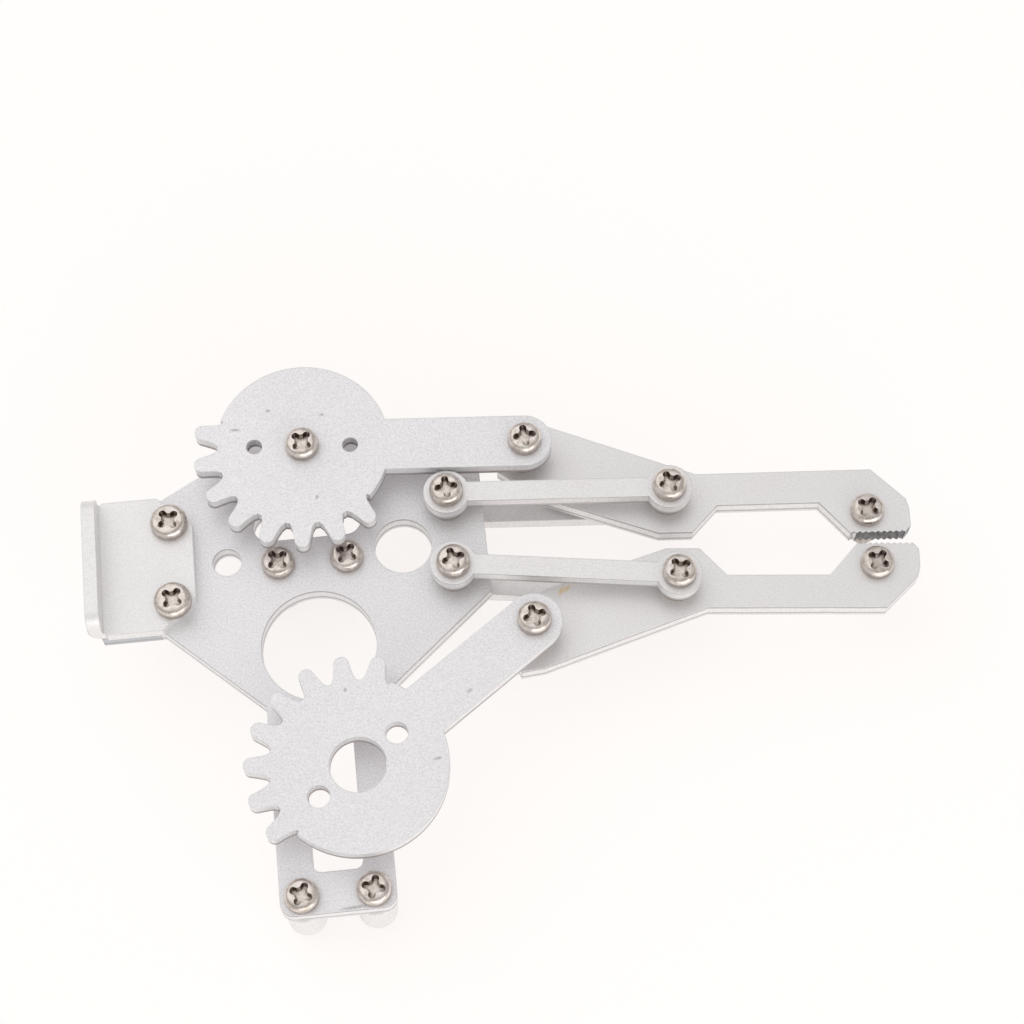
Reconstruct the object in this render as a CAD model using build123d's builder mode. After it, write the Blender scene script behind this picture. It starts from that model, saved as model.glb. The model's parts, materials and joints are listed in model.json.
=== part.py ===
from build123d import *
import os
from math import cos, sin, radians, hypot

# Two-finger servo gripper, aluminium plate kit, in millimetres.
# +X runs from the rear bracket to the finger tips, +Z is up.
# Origin: centre of the servo-shaft opening, on the top face of the base plate.

# ---- driving dimensions -------------------------------------------------
PLATE_T = 3.0            # base plate and fingers
LEVER_T = 2.4            # gear levers and links
GAP_LEVER = 3.1          # plate top to lever underside
GAP_LINK = 2.1           # plate top to upper link underside
GAP_LOW = 0.8            # plate underside to lower link
SHEET_T = 2.0            # rear bracket sheet
PLAY = 0.05              # axial play at every turning face

GEAR_CD = 29.1           # servo shaft to idler pivot
AXIS_Y = 14.1            # centre line of the openings and the bracket
TEETH_CUT = 8            # teeth on the working side of each lever
TOOTH_STEP = 20.0        # degrees between teeth
IDLER_FIRST = 49.6       # first tooth, degrees from the arm
DRIVE_FIRST = 39.6       # half a step earlier, so the two levers mesh
R_ROOT = 12.35
R_PLAIN = 12.75          # untoothed part of the disc
R_TIP = 15.95
TIP_ROUND = 1.12

LEVER_L = 32.5           # lever and link length, pivot to pivot
ARM_W = 8.0
LINK_W = 3.0
LINK_R = 3.35            # link end boss radius
PIV_X = 20.3             # link pivot on the plate, from the gear axis
PIV_Y = 8.97             # and toward the centre line
VEC_L = hypot(PIV_X, PIV_Y)
VEC_A = 19.78            # finger pivots, angle in the finger's own frame

IDLER_ARM = -4.3         # rest angles, degrees
IDLER_FINGER = -4.06
DRIVE_LINK = -8.49
DRIVE_FINGER = -5.7
DRIVE_ARM = 35.16

SCREW_R = 1.5
HOLE_R = 1.6
HEAD_R = 2.45
HEAD_H = 1.8
HEAD_ROUND = 0.95
BRACKET_HEAD_R = 2.7
NUT_AF = 5.5
NUT_H = 3.8

SERVO_DX = 10.0          # servo lug pattern
SERVO_DY = 49.5
SERVO_NEAR_Y = 13.1
SPACER_R = 2.85
SPACER_L = 8.0
SERVO_SCREW_L = 14.6
SERVO_SHANK_R = 1.3      # unthreaded part of the servo screws

HORN_R = 4.0             # servo horn opening in the drive lever
HORN_PCD = 14.0
HORN_HOLE_R = 1.6

SHAFT_R = 8.3            # round openings in the base plate
WIRE_R = 4.2
PILOT_R = 2.1

Z_LEVER = GAP_LEVER
Z_LEVER_TOP = GAP_LEVER + LEVER_T
Z_LINK = GAP_LINK
Z_LINK_TOP = GAP_LINK + LEVER_T
Z_LOW = -PLATE_T - GAP_LOW - LEVER_T

os.makedirs("parts", exist_ok=True)


def polar(x, y, r, a):
    return (x + r * cos(radians(a)), y + r * sin(radians(a)))


# ---- pivots at rest -----------------------------------------------------
IDLER = (0.0, GEAR_CD)
LINK_UP = (PIV_X, GEAR_CD - PIV_Y)
LINK_DN = (PIV_X, PIV_Y)
UP_FRONT = polar(*LINK_UP, LEVER_L, IDLER_ARM)
DN_FRONT = polar(*LINK_DN, LEVER_L, DRIVE_LINK)
UP_REAR = polar(*UP_FRONT, VEC_L, IDLER_FINGER - VEC_A + 180)
DN_REAR = polar(*DN_FRONT, VEC_L, DRIVE_FINGER + VEC_A + 180)
DRIVE = polar(*DN_REAR, LEVER_L, DRIVE_ARM + 180)

SERVO_POINTS = [
    (-SERVO_DX / 2, SERVO_NEAR_Y),
    (SERVO_DX / 2, SERVO_NEAR_Y),
    (-SERVO_DX / 2, SERVO_NEAR_Y - SERVO_DY),
    (SERVO_DX / 2, SERVO_NEAR_Y - SERVO_DY),
]
BRACKET_X = -20.3
BRACKET_DY = 6.1
BRACKET_POINTS = [
    (BRACKET_X, AXIS_Y + BRACKET_DY),
    (BRACKET_X, AXIS_Y - BRACKET_DY),
]


def save(part, name):
    part.label = name
    export_step(part, f"parts/{name}.step")
    print(name, len(part.solids()), round(part.volume, 1))


def pan_screws(points, z_under, length, turn=0.0, head_r=HEAD_R, neck=(SCREW_R, 0.0)):
    """Cross-recess pan head screws, head underside at z_under, shank down."""
    with BuildPart() as p:
        with BuildSketch(Plane.XY.offset(z_under)):
            with Locations(*points):
                Circle(head_r)
        extrude(amount=HEAD_H)
        tops = p.faces().sort_by(Axis.Z)[-len(points):]
        fillet(tops.edges(), radius=HEAD_ROUND)
        if neck[1] > 0:
            with BuildSketch(Plane.XY.offset(z_under)):
                with Locations(*points):
                    Circle(neck[0])
            extrude(amount=-neck[1])
        with BuildSketch(Plane.XY.offset(z_under - neck[1])):
            with Locations(*points):
                Circle(SCREW_R)
        extrude(amount=neck[1] - length)
        chamfer(p.faces().sort_by(Axis.Z)[:len(points)].edges(), length=0.35)
        # tapered cross recess
        for k, (x, y) in enumerate(points):
            with BuildSketch(Plane.XY.offset(z_under + HEAD_H)):
                with Locations(Location((x, y, 0), turn + 11 * k)):
                    SlotOverall(3.4, 1.05)
                    SlotOverall(3.4, 1.05, rotation=90)
                with Locations((x, y)):
                    Circle(0.98)
            extrude(amount=-1.05, taper=14, mode=Mode.SUBTRACT)
    return p


def hex_nuts(points, z_top, turn=0.0):
    """Locking nuts hanging below z_top, hexagon with a round insert collar."""
    with BuildPart() as p:
        with BuildSketch(Plane.XY.offset(z_top)):
            for k, (x, y) in enumerate(points):
                with Locations(Location((x, y, 0), turn + 23 * k)):
                    RegularPolygon(NUT_AF / 2, 6, major_radius=False)
        extrude(amount=-(NUT_H - 1.2))
        with BuildSketch(Plane.XY.offset(z_top - NUT_H + 1.2)):
            with Locations(*points):
                Circle(NUT_AF / 2 - 0.25)
        extrude(amount=-1.2, taper=12)
        with BuildSketch(Plane.XY.offset(z_top)):
            with Locations(*points):
                Circle(SCREW_R)
        extrude(amount=-NUT_H, mode=Mode.SUBTRACT)
    return p


def rings(points, z, height, r_out, r_in=HOLE_R):
    """Flat washers or spacer tubes standing up from z."""
    with BuildPart() as p:
        with BuildSketch(Plane.XY.offset(z)):
            with Locations(*points):
                Circle(r_out)
                Circle(r_in, mode=Mode.SUBTRACT)
        extrude(amount=height)
    return p


# ---- base plate ---------------------------------------------------------
FORK_X = 8.1             # half width of the two servo arms
FORK_Y = -39.0
outline = [
    (-31.0, 4.2),
    (-22.0, 4.2),
    (-FORK_X, -8.5),
    (-FORK_X, FORK_Y),
    (FORK_X, FORK_Y),
    (FORK_X, -8.8),
    (25.5, 6.0),
    (25.5, 24.6),
    (21.5, 28.6),
    (8.0, 33.4),
    (-6.0, 33.4),
    (-14.7, 28.6),
    (-21.6, 24.8),
    (-31.0, 24.4),
]
with BuildPart() as base:
    with BuildSketch(Plane.XY.offset(-PLATE_T)) as sk:
        with BuildLine():
            Polyline(*outline, close=True)
        make_face()
        fillet(sk.vertices().group_by(Axis.Y)[0], radius=1.9)
        fillet(sk.vertices().group_by(Axis.Y)[-1], radius=2.5)
        # servo shaft opening, wire opening and pilot hole on the centre line
        Circle(SHAFT_R, mode=Mode.SUBTRACT)
        with Locations((13.3, AXIS_Y)):
            Circle(WIRE_R, mode=Mode.SUBTRACT)
        with Locations((-12.4, AXIS_Y)):
            Circle(PILOT_R, mode=Mode.SUBTRACT)
        # long opening under the idler teeth
        with Locations((-0.4, 19.1)):
            SlotOverall(15.8, 4.6, mode=Mode.SUBTRACT)
        # gap between the two servo arms
        with Locations((0.3, -23.1)):
            RectangleRounded(7.0, 20.2, 1.2, mode=Mode.SUBTRACT)
        with Locations(*SERVO_POINTS, *BRACKET_POINTS, IDLER, LINK_UP, LINK_DN):
            Circle(HOLE_R, mode=Mode.SUBTRACT)
    extrude(amount=PLATE_T)
save(base.part, "base_plate")

# ---- rear bracket: flange on the plate with a lip folded up at the rear ----
FLANGE_RIGHT = -17.0
FLANGE_HALF = 10.3
LIP_X = -32.5            # outer face of the lip
LIP_TOP = 6.0
LIP_HALF = 10.0
LIP_CORNER = 2.4
BEND_R = 2.4             # outer radius of the fold
FLANGE_LEFT = LIP_X + BEND_R
with BuildPart() as bracket:
    with BuildSketch(Plane.XY) as sk:
        with BuildLine():
            Polyline(
                (FLANGE_LEFT, AXIS_Y - FLANGE_HALF),
                (-22.0, AXIS_Y - FLANGE_HALF),
                (FLANGE_RIGHT, AXIS_Y - 5.6),
                (FLANGE_RIGHT, AXIS_Y + 5.6),
                (-22.0, AXIS_Y + FLANGE_HALF),
                (FLANGE_LEFT, AXIS_Y + FLANGE_HALF),
                close=True,
            )
        make_face()
        with Locations(*BRACKET_POINTS):
            Circle(HOLE_R, mode=Mode.SUBTRACT)
    extrude(amount=SHEET_T)
    with BuildSketch(Plane.XZ.offset(-(AXIS_Y - LIP_HALF))) as sk:
        with BuildLine():
            Line((FLANGE_LEFT, 0), (FLANGE_LEFT, SHEET_T))
            RadiusArc((FLANGE_LEFT, SHEET_T), (LIP_X + SHEET_T, BEND_R), BEND_R - SHEET_T)
            Line((LIP_X + SHEET_T, BEND_R), (LIP_X + SHEET_T, LIP_TOP))
            Line((LIP_X + SHEET_T, LIP_TOP), (LIP_X, LIP_TOP))
            Line((LIP_X, LIP_TOP), (LIP_X, BEND_R))
            RadiusArc((LIP_X, BEND_R), (FLANGE_LEFT, 0), -BEND_R)
        make_face()
    extrude(amount=-2 * LIP_HALF)
    ends = bracket.edges().filter_by(Axis.X).filter_by(lambda e: abs(e.center().Z - LIP_TOP) < 0.01)
    fillet(ends, radius=LIP_CORNER)
save(bracket.part, "rear_bracket")

bracket_screws = pan_screws(BRACKET_POINTS, SHEET_T, 9.0, turn=38, head_r=BRACKET_HEAD_R)
save(bracket_screws.part, "bracket_screws")
bracket_nuts = hex_nuts(BRACKET_POINTS, -PLATE_T, turn=8)
save(bracket_nuts.part, "bracket_nuts")

# ---- servo mounting hardware ---------------------------------------------
servo_screws = pan_screws(
    SERVO_POINTS, 0.0, SERVO_SCREW_L, turn=40, neck=(SERVO_SHANK_R, PLATE_T + SPACER_L),
)
save(servo_screws.part, "servo_screws")
servo_spacers = rings(SERVO_POINTS, -PLATE_T - SPACER_L, SPACER_L, SPACER_R)
save(servo_spacers.part, "servo_spacers")


# ---- gear levers ----------------------------------------------------------
def lever(centre, arm_angle, first_tooth, direction, bore_r, side_hole_r):
    """Toothed disc with a straight arm; the teeth start first_tooth from the arm."""
    with BuildPart() as p:
        with BuildSketch(Plane.XY.offset(Z_LEVER)) as s:
            with Locations(Location((centre[0], centre[1], 0), arm_angle)):
                Circle(R_ROOT)
            plain = first_tooth + (TEETH_CUT - 1) * TOOTH_STEP + TOOTH_STEP / 2
            with BuildLine():
                start = arm_angle + direction * plain
                sweep = direction * (360 - plain + first_tooth - TOOTH_STEP / 2)
                rim = CenterArc(centre, R_PLAIN, start, sweep)
                Line(rim @ 0, centre)
                Line(rim @ 1, centre)
            make_face()
            with Locations(Location((*polar(*centre, LEVER_L / 2, arm_angle), 0), arm_angle)):
                SlotCenterToCenter(LEVER_L, ARM_W)
            for k in range(TEETH_CUT):
                a = arm_angle + direction * (first_tooth + k * TOOTH_STEP)
                with Locations(Location((centre[0], centre[1], 0), a)):
                    Polygon(
                        (R_ROOT - 1.2, -1.95),
                        (R_ROOT - 0.05, -1.8),
                        (R_ROOT + 0.45, -1.5),
                        (13.7, -1.3),
                        (R_TIP - TIP_ROUND, -TIP_ROUND),
                        (R_TIP - TIP_ROUND, TIP_ROUND),
                        (13.7, 1.3),
                        (R_ROOT + 0.45, 1.5),
                        (R_ROOT - 0.05, 1.8),
                        (R_ROOT - 1.2, 1.95),
                        align=None,
                    )
                    with Locations((R_TIP - TIP_ROUND, 0)):
                        Circle(TIP_ROUND)
            with Locations(Location((centre[0], centre[1], 0), arm_angle)):
                Circle(bore_r, mode=Mode.SUBTRACT)
                with Locations((HORN_PCD / 2, 0), (-HORN_PCD / 2, 0)):
                    Circle(side_hole_r, mode=Mode.SUBTRACT)
            with Locations(polar(*centre, LEVER_L, arm_angle)):
                Circle(HOLE_R, mode=Mode.SUBTRACT)
        extrude(amount=LEVER_T)
    return p


idler_lever = lever(IDLER, IDLER_ARM, IDLER_FIRST, -1, HOLE_R, 1.15)
save(idler_lever.part, "idler_gear_lever")
drive_lever = lever(DRIVE, DRIVE_ARM, DRIVE_FIRST, 1, HORN_R, HORN_HOLE_R)
save(drive_lever.part, "drive_gear_lever")


# ---- fingers --------------------------------------------------------------
FACE_Y = -6.4            # gripping face, from the front pivot
FACE_X0 = 26.6
FACE_X1 = 34.6
TIP_X = 35.5
TIP_SCREW = (29.2, -3.0)
SERRATIONS = 9
SERR_DEPTH = 0.26


def finger(front, angle, side):
    """Hooked finger; side is +1 for the upper finger and -1 for its mirror."""
    pts = [
        (-22.6, 13.5),
        (-19.3, 12.9),
        (4.4, 3.7),
        (30.3, 3.7),
        (35.1, -1.1),
        (TIP_X, -2.6),
        (TIP_X, FACE_Y + 1.0),
        (FACE_X1, FACE_Y),
    ]
    step = (FACE_X1 - FACE_X0) / SERRATIONS
    for k in range(SERRATIONS):
        x = FACE_X1 - k * step
        pts.append((x - step / 2, FACE_Y + SERR_DEPTH))
        pts.append((x - step, FACE_Y))
    pts += [
        (22.3, -1.35),
        (7.3, -1.35),
        (3.4, -5.5),
        (-1.5, -5.5),
        (-2.9, -5.0),
        (-19.0, 0.75),
        (-24.9, 5.2),
        (-25.2, 9.6),
    ]
    rear = (-VEC_L * cos(radians(VEC_A)), VEC_L * sin(radians(VEC_A)))

    def place(q):
        x, y = q[0], q[1] * side
        c, s = cos(radians(angle)), sin(radians(angle))
        return (front[0] + c * x - s * y, front[1] + s * x + c * y)

    with BuildPart() as p:
        with BuildSketch(Plane.XY.offset(-PLATE_T)):
            with BuildLine():
                Polyline(*[place(q) for q in pts], close=True)
            make_face()
            with Locations(place(rear), front, place(TIP_SCREW)):
                Circle(HOLE_R, mode=Mode.SUBTRACT)
        extrude(amount=PLATE_T)
    return p, place(TIP_SCREW)


upper, UP_TIP = finger(UP_FRONT, IDLER_FINGER, 1)
save(upper.part, "idler_finger")
lower, DN_TIP = finger(DN_FRONT, DRIVE_FINGER, -1)
save(lower.part, "drive_finger")


# ---- links ------------------------------------------------------------------
def link(start, angle, z):
    """Narrow bar with a round boss at each end."""
    end = polar(*start, LEVER_L, angle)
    middle = polar(*start, LEVER_L / 2, angle)
    with BuildPart() as p:
        with BuildSketch(Plane.XY.offset(z)) as s:
            with Locations(start, end):
                Circle(LINK_R)
            with Locations(Location((middle[0], middle[1], 0), angle)):
                Rectangle(LEVER_L, LINK_W)
            with Locations(start, end):
                Circle(HOLE_R, mode=Mode.SUBTRACT)
        extrude(amount=LEVER_T)
    return p


save(link(LINK_UP, IDLER_ARM, Z_LINK).part, "idler_link_top")
save(link(LINK_UP, IDLER_ARM, Z_LOW).part, "idler_link_bottom")
save(link(LINK_DN, DRIVE_LINK, Z_LINK).part, "drive_link_top")
save(link(LINK_DN, DRIVE_LINK, Z_LOW).part, "drive_link_bottom")

# ---- pivot hardware carried by the base plate ---------------------------------
Z_ON_LEVER = Z_LEVER_TOP + PLAY
Z_ON_LINK = Z_LINK_TOP + PLAY
LEVER_SCREW_L = Z_ON_LEVER + PLATE_T + NUT_H + 0.6
LINK_SCREW_L = Z_ON_LINK - Z_LOW + PLAY + NUT_H + 0.4
BASE_LINKS = [LINK_UP, LINK_DN]

save(pan_screws([IDLER], Z_ON_LEVER, LEVER_SCREW_L, turn=46).part, "idler_pivot_screw")
save(rings([IDLER], 0, GAP_LEVER - PLAY, 3.2).part, "idler_pivot_spacer")
save(hex_nuts([IDLER], -PLATE_T, turn=12).part, "idler_pivot_nut")
save(pan_screws([LINK_UP], Z_ON_LINK, LINK_SCREW_L, turn=4).part, "idler_link_base_screw")
save(pan_screws([LINK_DN], Z_ON_LINK, LINK_SCREW_L, turn=17).part, "drive_link_base_screw")
save(rings(BASE_LINKS, 0, GAP_LINK - PLAY, 2.75).part, "link_base_spacers")
save(rings(BASE_LINKS, -PLATE_T - GAP_LOW + PLAY, GAP_LOW - PLAY, 3.0).part, "link_base_washers")
save(hex_nuts(BASE_LINKS, Z_LOW - PLAY, turn=17).part, "link_base_nuts")

# ---- pivot hardware carried by each finger -----------------------------------
for side, rear, front, tip, rear_turn, front_turn in (
    ("idler", UP_REAR, UP_FRONT, UP_TIP, 6, 20),
    ("drive", DN_REAR, DN_FRONT, DN_TIP, 15, 31),
):
    save(pan_screws([rear], Z_ON_LEVER, LEVER_SCREW_L, turn=rear_turn).part,
         f"{side}_lever_pivot_screw")
    save(pan_screws([front], Z_ON_LINK, LINK_SCREW_L, turn=front_turn).part,
         f"{side}_link_pivot_screw")
    with BuildPart() as spacers:
        add(rings([rear], 0, GAP_LEVER - PLAY, 2.75).part)
        add(rings([front], 0, GAP_LINK - PLAY, 2.75).part)
    save(spacers.part, f"{side}_finger_spacers")
    save(rings([front], -PLATE_T - GAP_LOW + PLAY, GAP_LOW - PLAY, 3.0).part,
         f"{side}_finger_washer")
    save(hex_nuts([rear], -PLATE_T, turn=rear_turn).part, f"{side}_lever_pivot_nut")
    save(hex_nuts([front], Z_LOW - PLAY, turn=front_turn).part, f"{side}_link_pivot_nut")
    save(pan_screws([tip], 0.0, 8.0, turn=48).part, f"{side}_tip_screw")
    save(hex_nuts([tip], -PLATE_T, turn=21).part, f"{side}_tip_nut")
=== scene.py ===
import bpy
import json
import math
from mathutils import Euler, Matrix, Vector


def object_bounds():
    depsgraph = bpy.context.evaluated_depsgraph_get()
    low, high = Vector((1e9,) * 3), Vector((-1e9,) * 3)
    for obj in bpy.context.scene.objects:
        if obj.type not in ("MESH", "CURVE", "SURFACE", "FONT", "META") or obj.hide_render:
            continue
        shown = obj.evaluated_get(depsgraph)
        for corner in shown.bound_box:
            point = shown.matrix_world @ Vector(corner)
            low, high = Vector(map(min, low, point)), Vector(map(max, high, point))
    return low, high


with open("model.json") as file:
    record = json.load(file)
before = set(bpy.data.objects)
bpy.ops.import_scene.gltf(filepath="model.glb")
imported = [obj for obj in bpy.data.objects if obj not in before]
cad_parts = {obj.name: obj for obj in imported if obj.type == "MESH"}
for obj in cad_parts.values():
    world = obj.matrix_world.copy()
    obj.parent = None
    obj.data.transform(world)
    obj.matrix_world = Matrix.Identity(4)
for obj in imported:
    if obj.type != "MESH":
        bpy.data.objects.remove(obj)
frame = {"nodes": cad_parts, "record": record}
CAD_BOX = [list(v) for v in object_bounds()]
MM = 0.001

# ---------------------------------------------------------------- colours, as linear red, green, blue
WHITE = (1, 1, 1)
PLATE = (0.885, 0.875, 0.885)
PLATE_CLOUD = (0.95, 0.94, 0.955)
PLATE_CUT = (0.89, 0.885, 0.89)
# painted shade: the blue-grey of the plate's rear side faces, where shade falls
REAR_CUT_SHADE = (0.52, 0.55, 0.59)
MILL = (0.90, 0.89, 0.89)
MILL_CLOUD = (0.965, 0.945, 0.935)
MILL_CUT = (0.90, 0.89, 0.885)
SPACER = (0.92, 0.915, 0.91)
LINE = (0.34, 0.30, 0.29)
FAINT_LINE = (0.42, 0.40, 0.40)
# painted shade along the side faces' edges, and a painted highlight along the flat faces' edges
EDGE_SHADE = (0.30, 0.285, 0.28)
EDGE_HIGHLIGHT = (0.97, 0.96, 0.96)
NICK = (0.34, 0.33, 0.33)
STAIN = (0.80, 0.57, 0.24)
# painted shade on the serrated jaw faces, laid over their real ribs
SHADED_RIB_DARK = (0.10, 0.10, 0.105)
SHADED_RIB_LIGHT = (0.36, 0.36, 0.37)
NICKEL_DULL = (0.52, 0.45, 0.40)
NICKEL = (0.76, 0.70, 0.65)
NICKEL_BRIGHT = (0.90, 0.86, 0.82)
# painted shade on the screw heads' sloped rims
NICKEL_RIM_SHADE = (0.26, 0.21, 0.18)
# painted shade in the screw recesses
NICKEL_RECESS_SHADE = (0.20, 0.155, 0.135)

# ---------------------------------------------------------------- marks, in millimetres on the object
# a line along the side faces is (height, half width, strength, colour)
PLATE_LINES = [(-0.1, 0.42, 0.75, LINE), (-2.25, 0.38, 0.7, FAINT_LINE)]
LEVER_LINES = [(3.45, 0.45, 0.8, LINE)]
LINK_LINES = [(2.4, 0.40, 0.6, LINE), (4.45, 0.3, 0.4, LINE)]
# a nick or a stain is (x, y, length, angle in degrees)
PLATE_NICKS = [(-19.4, 27.9, 2.2, 12), (2.0, -38.6, 4.5, 4)]
IDLER_NICKS = [
    (-9.6, 32.6, 1.9, -8), (-4.6, 35.2, 0.9, 20), (3.2, 33.8, 1.0, 0),
    (1.6, 20.8, 0.9, 60), (9.2, 38.2, 1.1, -30),
]
DRIVE_NICKS = [(15.4, -20.2, 1.6, 10), (3.4, -9.0, 0.9, 70), (20.8, -10.8, 1.2, 30)]
FINGER_STAIN = [(35.5, 4.75, 2.0, 62), (36.3, 5.0, 1.9, 38)]
NICK_HALF_WIDTH = 0.3
STAIN_HALF_WIDTH = 0.42
# the plate's side faces rearward of this x and below this y get a darker painted shade
REAR_X, REAR_Y = -22.5, 4.5
# each serrated jaw face lies within (lowest x, highest x, lowest y, highest y)
IDLER_JAW = (79.6, 90.0, 3.0, 10.6)
DRIVE_JAW = (78.0, 90.0, 5.0, 10.6)
EDGE_WIDTH = 0.24
RECESS_DEPTH = 1.1

# ---------------------------------------------------------------- shader strengths
SHADER_SAMPLES = 6
BLASTED_METAL = 0.70
MILLED_METAL = 0.72
# the first strength below sets the painted shade on the plate's rear side faces; the two edge
# strengths set the painted shade and painted highlight at edges
REAR_SHADE_STRENGTH = 0.8
MARK_STRENGTH = 0.8
EDGE_SHADE_STRENGTH = 0.9
EDGE_HIGHLIGHT_STRENGTH = 0.55
PIT_DEPTH = 1.5


class Mat:
    """A procedural material, with short calls that add and wire its shader nodes."""

    def __init__(self, name):
        self.mat = bpy.data.materials.new(name)
        self.mat.use_nodes = True
        self.tree = self.mat.node_tree
        self.bsdf = self.tree.nodes["Principled BSDF"]
        coords = self.node("ShaderNodeTexCoord")
        self.obj = coords.outputs["Object"]
        self.normal = coords.outputs["Normal"]

    def node(self, kind, **props):
        n = self.tree.nodes.new(kind)
        for key, value in props.items():
            setattr(n, key, value)
        return n

    def link(self, a, b):
        self.tree.links.new(a, b)

    def math(self, op, a, b=0.0, clamp=False):
        n = self.node("ShaderNodeMath", operation=op, use_clamp=clamp)
        for socket, value in zip(n.inputs, (a, b)):
            if isinstance(value, bpy.types.NodeSocket):
                self.link(value, socket)
            else:
                socket.default_value = value
        return n.outputs[0]

    def times(self, a, b, clamp=False):
        return self.math("MULTIPLY", a, b, clamp)

    def minus(self, a, b, clamp=False):
        return self.math("SUBTRACT", a, b, clamp)

    def axes(self, vector):
        """The x, y and z of a vector."""
        n = self.node("ShaderNodeSeparateXYZ")
        self.link(vector, n.inputs[0])
        return n.outputs[0], n.outputs[1], n.outputs[2]

    def noise(self, scale, detail, rough, stretch=None):
        """3-D noise on the object; scale is in cycles per metre."""
        n = self.node("ShaderNodeTexNoise")
        n.inputs["Scale"].default_value = scale
        n.inputs["Detail"].default_value = detail
        n.inputs["Roughness"].default_value = rough
        place = self.obj
        if stretch:
            mapping = self.node("ShaderNodeMapping")
            mapping.inputs["Scale"].default_value = stretch
            self.link(place, mapping.inputs["Vector"])
            place = mapping.outputs["Vector"]
        self.link(place, n.inputs["Vector"])
        return n.outputs["Fac"]

    def ramp(self, value, stops):
        """A colour ramp; each stop is (position, colour or grey level)."""
        n = self.node("ShaderNodeValToRGB")
        elements = n.color_ramp.elements
        while len(elements) < len(stops):
            elements.new(0.5)
        for element, (position, col) in zip(elements, stops):
            element.position = position
            if not isinstance(col, tuple):
                col = (col, col, col)
            element.color = (*col, 1.0)
        self.link(value, n.inputs["Fac"])
        return n.outputs["Color"]

    def mix(self, fac, a, b, blend="MIX"):
        n = self.node("ShaderNodeMix", data_type="RGBA", blend_type=blend)
        if isinstance(fac, bpy.types.NodeSocket):
            self.link(fac, n.inputs["Factor"])
        else:
            n.inputs["Factor"].default_value = fac
        for socket, value in ((n.inputs[6], a), (n.inputs[7], b)):
            if isinstance(value, tuple):
                socket.default_value = (*value, 1.0)
            else:
                self.link(value, socket)
        return n.outputs[2]

    def side_mask(self):
        """1 on side faces, 0 on the flat top and bottom faces."""
        up = self.math("ABSOLUTE", self.axes(self.normal)[2])
        return self.minus(1.0, self.times(up, 1.6, clamp=True), clamp=True)

    def edge_mask(self, radius):
        """1 in a thin band along sharp edges, and the rounded normal that finds them."""
        bevel = self.node("ShaderNodeBevel", samples=SHADER_SAMPLES)
        bevel.inputs["Radius"].default_value = radius
        geometry = self.node("ShaderNodeNewGeometry")
        dot = self.node("ShaderNodeVectorMath", operation="DOT_PRODUCT")
        self.link(bevel.outputs[0], dot.inputs[0])
        self.link(geometry.outputs["Normal"], dot.inputs[1])
        turn = self.minus(1.0, dot.outputs["Value"], clamp=True)
        return self.times(turn, 4.0, clamp=True), bevel.outputs[0]

    def bump(self, height, strength, distance, normal=None):
        n = self.node("ShaderNodeBump")
        n.inputs["Strength"].default_value = strength
        n.inputs["Distance"].default_value = distance
        self.link(height, n.inputs["Height"])
        if normal is not None:
            self.link(normal, n.inputs["Normal"])
        return n.outputs["Normal"]

    def surface(self, col, metallic, roughness, normal):
        """Wire the finished values to the shader and return the material."""
        self.link(col, self.bsdf.inputs["Base Color"])
        self.bsdf.inputs["Metallic"].default_value = metallic
        self.link(roughness, self.bsdf.inputs["Roughness"])
        self.link(normal, self.bsdf.inputs["Normal"])
        return self.mat


def scaled(col, factor):
    """A colour made darker or lighter, no brighter than 1."""
    return tuple(min(1, c * factor) for c in col)


def paint_cut_faces(m, col, cut, lines, rear_shade=None):
    """Bright sheared side faces with dark lines, painted shade along their edges, a painted highlight
    along the flat faces' edges and optional painted shade on rear side faces; also gives the rounded
    normal.
    """
    x, y, z = m.axes(m.obj)
    side = m.side_mask()
    if rear_shade:
        # painted shade on the plate's side faces towards the rear
        shaded_behind = m.times(m.math("LESS_THAN", x, REAR_X * MM), m.math("LESS_THAN", y, REAR_Y * MM))
        cut = m.mix(m.times(shaded_behind, REAR_SHADE_STRENGTH), cut, rear_shade)
    edge, rounded = m.edge_mask(EDGE_WIDTH * MM)
    shear = m.noise(1500, 3.0, 0.6, stretch=(6.0, 6.0, 0.5))
    face = m.mix(1.0, cut, m.ramp(shear, [(0.35, 0.86), (0.65, 1.0)]), "MULTIPLY")
    waver = m.times(m.minus(m.noise(260, 2.0, 0.5), 0.5), 0.35 * MM)
    height = m.math("ADD", z, waver)
    for line_z, half_width, strength, tone in lines:
        off = m.math("ABSOLUTE", m.minus(height, line_z * MM))
        band = m.minus(1.0, m.times(off, 1 / (half_width * MM)), clamp=True)
        band = m.times(band, 2.0, clamp=True)
        face = m.mix(m.times(band, strength), face, tone)
    col = m.mix(side, col, face)
    # painted shade on the side faces along their edges, then a painted highlight along the flat
    # faces' edges
    col = m.mix(m.times(m.times(edge, side), EDGE_SHADE_STRENGTH), col, EDGE_SHADE)
    highlight_edge = m.times(edge, m.minus(1.0, side, clamp=True))
    return m.mix(m.times(highlight_edge, EDGE_HIGHLIGHT_STRENGTH), col, EDGE_HIGHLIGHT), rounded


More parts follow.
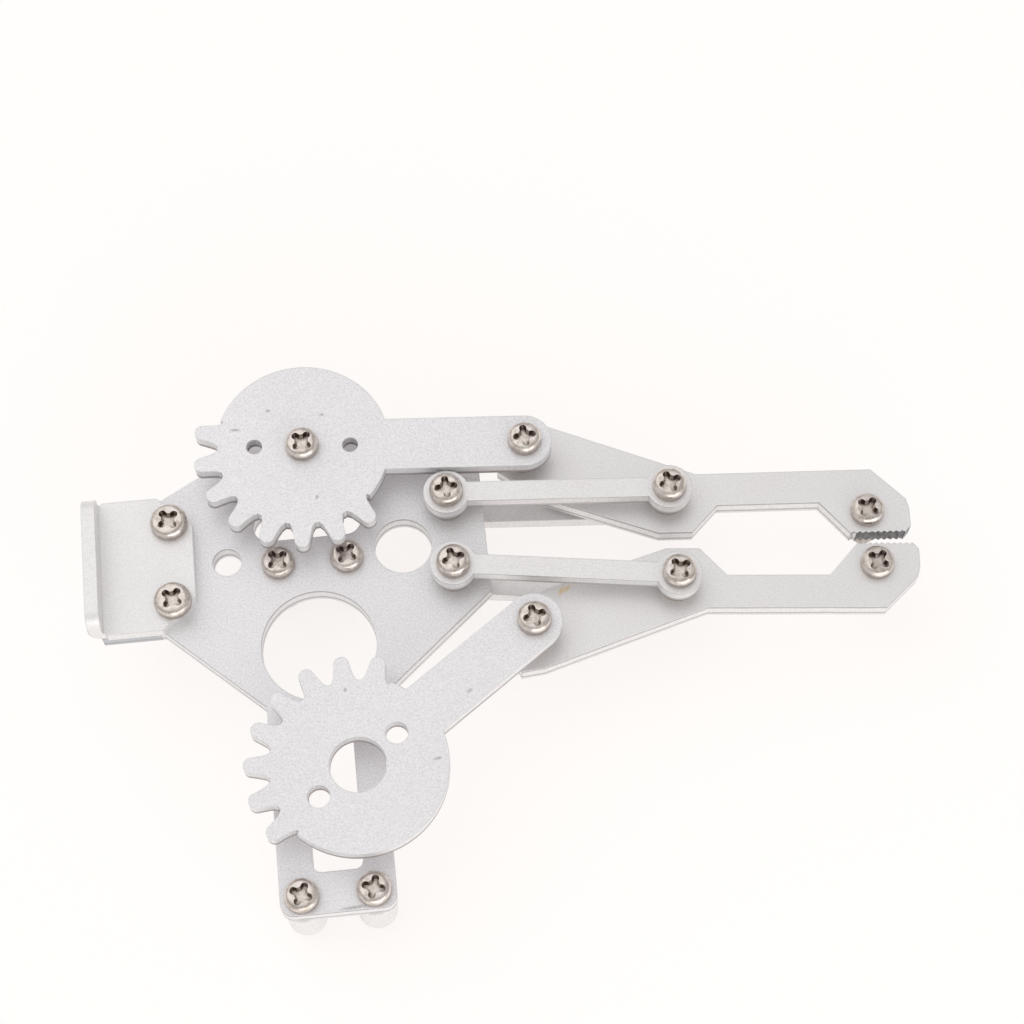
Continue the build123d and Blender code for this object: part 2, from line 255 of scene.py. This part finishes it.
def add_marks(m, col, marks, half_width, paint):
    """Ragged oval nicks or stains; also gives their mask."""
    x, y, _ = m.axes(m.obj)
    ragged = m.noise(2600, 3.0, 0.7)
    mask = None
    for mark_x, mark_y, length, angle in marks:
        c, s = math.cos(math.radians(angle)), math.sin(math.radians(angle))
        dx = m.minus(x, mark_x * MM)
        dy = m.minus(y, mark_y * MM)
        along = m.math("ADD", m.times(dx, c), m.times(dy, s))
        across = m.minus(m.times(dy, c), m.times(dx, s))
        along = m.math("ABSOLUTE", m.times(along, 1 / (length * 0.5 * MM)))
        across = m.math("ABSOLUTE", m.times(across, 1 / (half_width * MM)))
        oval = m.math("ADD", m.math("POWER", along, 2.0), m.math("POWER", across, 2.0))
        spot = m.minus(1.0, oval, clamp=True)
        mask = spot if mask is None else m.math("MAXIMUM", mask, spot)
    mask = m.times(mask, m.times(ragged, 1.5, clamp=True), clamp=True)
    return m.mix(m.times(mask, MARK_STRENGTH), col, paint), mask


def paint_jaw_shade(m, col, jaw):
    """Ribbed side faces inside a jaw's range, darkened with painted shade over the real ribs."""
    x, y, _ = m.axes(m.obj)
    low_x, high_x, low_y, high_y = (v * MM for v in jaw)
    jaw_shade = m.times(m.math("GREATER_THAN", x, low_x), m.math("LESS_THAN", x, high_x))
    jaw_shade = m.times(jaw_shade, m.math("GREATER_THAN", y, low_y))
    jaw_shade = m.times(jaw_shade, m.math("LESS_THAN", y, high_y))
    jaw_shade = m.times(jaw_shade, m.times(m.side_mask(), 1.3, clamp=True))
    ribs = m.noise(1700, 2.0, 0.6, stretch=(3.0, 1.0, 0.4))
    return m.mix(jaw_shade, col, m.ramp(ribs, [(0.35, SHADED_RIB_DARK), (0.65, SHADED_RIB_LIGHT)]))


def blasted(name, nicks, lines, rear_shade=None):
    """Bead-blasted aluminium plate: pale, finely speckled, with a painted highlight at the edges."""
    m = Mat(name)
    grain = m.noise(3600, 2.0, 0.7)
    speck = m.noise(2000, 3.0, 0.75)
    cloud = m.noise(90, 4.0, 0.6)
    col = m.ramp(grain, [(0.28, scaled(PLATE, 0.86)), (0.55, PLATE), (0.75, scaled(PLATE, 1.08))])
    col = m.mix(0.5, col, m.ramp(speck, [(0.27, 0.60), (0.36, 1.0)]), "MULTIPLY")
    col = m.mix(0.55, col, m.ramp(cloud, [(0.3, PLATE_CLOUD), (0.7, WHITE)]), "MULTIPLY")
    col, pit = add_marks(m, col, nicks, NICK_HALF_WIDTH, NICK)
    col, rounded = paint_cut_faces(m, col, PLATE_CUT, lines, rear_shade)
    height = m.math("ADD", grain, m.times(speck, 0.7))
    height = m.minus(height, m.times(pit, PIT_DEPTH))
    roughness = m.ramp(grain, [(0.3, 0.62), (0.7, 0.48)])
    return m.surface(col, BLASTED_METAL, roughness, m.bump(height, 0.5, 0.04 * MM, rounded))


def milled(name, tint=MILL, stretch=(1.0, 14.0, 14.0), stain=None, jaw=None, lines=()):
    """Plain rolled aluminium: smoother, with a faint grain along its length."""
    m = Mat(name)
    grain = m.noise(1800, 3.0, 0.6, stretch=stretch)
    fine = m.noise(3600, 2.0, 0.7)
    cloud = m.noise(70, 4.0, 0.6)
    col = m.ramp(grain, [(0.3, scaled(tint, 0.90)), (0.7, scaled(tint, 1.05))])
    col = m.mix(0.45, col, m.ramp(fine, [(0.3, 0.78), (0.6, 1.0)]), "MULTIPLY")
    col = m.mix(0.5, col, m.ramp(cloud, [(0.35, MILL_CLOUD), (0.65, WHITE)]), "MULTIPLY")
    if stain:
        col, _ = add_marks(m, col, stain, STAIN_HALF_WIDTH, STAIN)
    col, rounded = paint_cut_faces(m, col, MILL_CUT, lines)
    if jaw:
        col = paint_jaw_shade(m, col, jaw)
    height = m.math("ADD", grain, m.times(fine, 0.5))
    roughness = m.ramp(grain, [(0.3, 0.52), (0.7, 0.40)])
    return m.surface(col, MILLED_METAL, roughness, m.bump(height, 0.35, 0.03 * MM, rounded))


def nickel(name):
    """Nickel-plated steel, slightly warm, with painted brown shade in the recesses and on the sloped
    rims.
    """
    m = Mat(name)
    tarnish = m.noise(1100, 4.0, 0.65)
    streak = m.noise(500, 3.0, 0.6)
    scratch = m.noise(2500, 2.0, 0.6, stretch=(1, 9, 9))
    col = m.ramp(tarnish, [(0.3, NICKEL_DULL), (0.52, NICKEL), (0.75, NICKEL_BRIGHT)])
    # painted shade in rings on the heads' sloped faces, set by how far the normal tips from up
    tilt = m.math("ADD", m.axes(m.normal)[2], m.times(m.minus(streak, 0.5), 0.55))
    rim_shade = m.ramp(tilt, [(0.10, 0.62), (0.42, 0.0), (0.70, 0.0), (0.86, 0.48), (0.97, 0.10)])
    col = m.mix(rim_shade, col, NICKEL_RIM_SHADE)
    # painted shade in the recesses, found by local occlusion
    recess_occlusion = m.node("ShaderNodeAmbientOcclusion", samples=SHADER_SAMPLES, only_local=True)
    recess_occlusion.inputs["Distance"].default_value = RECESS_DEPTH * MM
    col = m.mix(m.ramp(recess_occlusion.outputs["AO"], [(0.34, 0.95), (0.74, 0.0)]), col, NICKEL_RECESS_SHADE)
    roughness = m.ramp(scratch, [(0.3, 0.34), (0.7, 0.20)])
    return m.surface(col, 1.0, roughness, m.bump(tarnish, 0.25, 0.03 * MM))


# pieces with marks of their own; every other piece takes its slot's finish
BY_NODE = {
    "base_plate": blasted("base_plate_aluminium", PLATE_NICKS, PLATE_LINES, REAR_CUT_SHADE),
    "idler_gear_lever": blasted("idler_lever_aluminium", IDLER_NICKS, LEVER_LINES),
    "drive_gear_lever": blasted("drive_lever_aluminium", DRIVE_NICKS, LEVER_LINES),
    "idler_finger": milled("idler_finger_aluminium", lines=PLATE_LINES, jaw=IDLER_JAW),
    "drive_finger": milled("drive_finger_aluminium", lines=PLATE_LINES, jaw=DRIVE_JAW,
                           stain=FINGER_STAIN),
}
BY_SLOT = {
    "plain_aluminium": milled("plain_aluminium", lines=LINK_LINES),
    "bracket_aluminium": milled("bracket_aluminium", stretch=(8.0, 8.0, 8.0)),
    "spacer_aluminium": milled("spacer_aluminium", SPACER, stretch=(6.0, 6.0, 30.0)),
    "nickel_steel": nickel("nickel_steel"),
}
slots = {s["node"]: s["material_slot"] for s in frame["record"]["subparts"]}
for name, obj in frame["nodes"].items():
    obj.data.materials.clear()
    obj.data.materials.append(BY_NODE.get(name) or BY_SLOT[slots[name]])
    for poly in obj.data.polygons:
        poly.use_smooth = False

# ---------------------------------------------------------------- floor, light, camera, in metres
FLOOR_HALF = 1.6
FLOOR_COLOUR = (0.30, 0.295, 0.29, 1)
FLOOR_GLOW = (1.0, 0.965, 0.945, 1)
FLOOR_GLOW_STRENGTH = 0.74
SKY_COLOUR = (1.0, 0.99, 0.985, 1)
SKY_STRENGTH = 0.70
FILL_COLOUR = (1.0, 0.98, 0.965)
AIM = (0.025, 0.0, 0.0)

floor_z = CAD_BOX[0][2]
corners = [(x * FLOOR_HALF, y * FLOOR_HALF, floor_z) for x, y in ((-1, -1), (1, -1), (1, 1), (-1, 1))]
floor_mesh = bpy.data.meshes.new("floor")
floor_mesh.from_pydata(corners, [], [(0, 1, 2, 3)])
floor = bpy.data.objects.new("floor", floor_mesh)
bpy.context.collection.objects.link(floor)
floor_mat = Mat("pale_floor")
floor_mat.bsdf.inputs["Base Color"].default_value = FLOOR_COLOUR
floor_mat.bsdf.inputs["Roughness"].default_value = 0.8
floor_mat.bsdf.inputs["Emission Color"].default_value = FLOOR_GLOW
floor_mat.bsdf.inputs["Emission Strength"].default_value = FLOOR_GLOW_STRENGTH
floor_mesh.materials.append(floor_mat.mat)

world = bpy.data.worlds.new("studio")
bpy.context.scene.world = world
world.use_nodes = True
sky = world.node_tree.nodes["Background"]
sky.inputs["Color"].default_value = SKY_COLOUR
sky.inputs["Strength"].default_value = SKY_STRENGTH


def softbox(name, place, size, power, colour=WHITE):
    """A rectangular area light that points at the object."""
    data = bpy.data.lights.new(name, "AREA")
    data.shape = "RECTANGLE"
    data.size, data.size_y = size
    data.energy = power
    data.color = colour
    light = bpy.data.objects.new(name, data)
    light.location = place
    direction = Vector(AIM) - Vector(place)
    light.rotation_euler = direction.to_track_quat("-Z", "Y").to_euler()
    bpy.context.collection.objects.link(light)


softbox("key", (-0.30, 0.30, 0.60), (0.9, 0.9), 1.2)
softbox("fill", (0.20, -0.55, 0.22), (0.8, 0.4), 1.3, FILL_COLOUR)
bpy.context.scene.view_settings.view_transform = "Standard"

SENSOR_MM = 36.0
LENS_MM = 84.375
CAM_PLACE = (15.041, -116.924, 325.842)     # millimetres
CAM_TILT = 22.5851                          # degrees, from straight down
CAM_ROLL = -0.1341
CAM_TURN = -5.8863                          # degrees about the vertical
camera_data = bpy.data.cameras.new("camera")
camera_data.sensor_width = SENSOR_MM
camera_data.lens = LENS_MM
camera_data.clip_start = 0.01
camera = bpy.data.objects.new("camera", camera_data)
bpy.context.collection.objects.link(camera)
aim = Euler([math.radians(a) for a in (CAM_TILT, CAM_ROLL, CAM_TURN)]).to_matrix().to_4x4()
camera.matrix_world = Matrix.Translation(Vector(CAM_PLACE) * MM) @ aim
bpy.context.scene.camera = camera
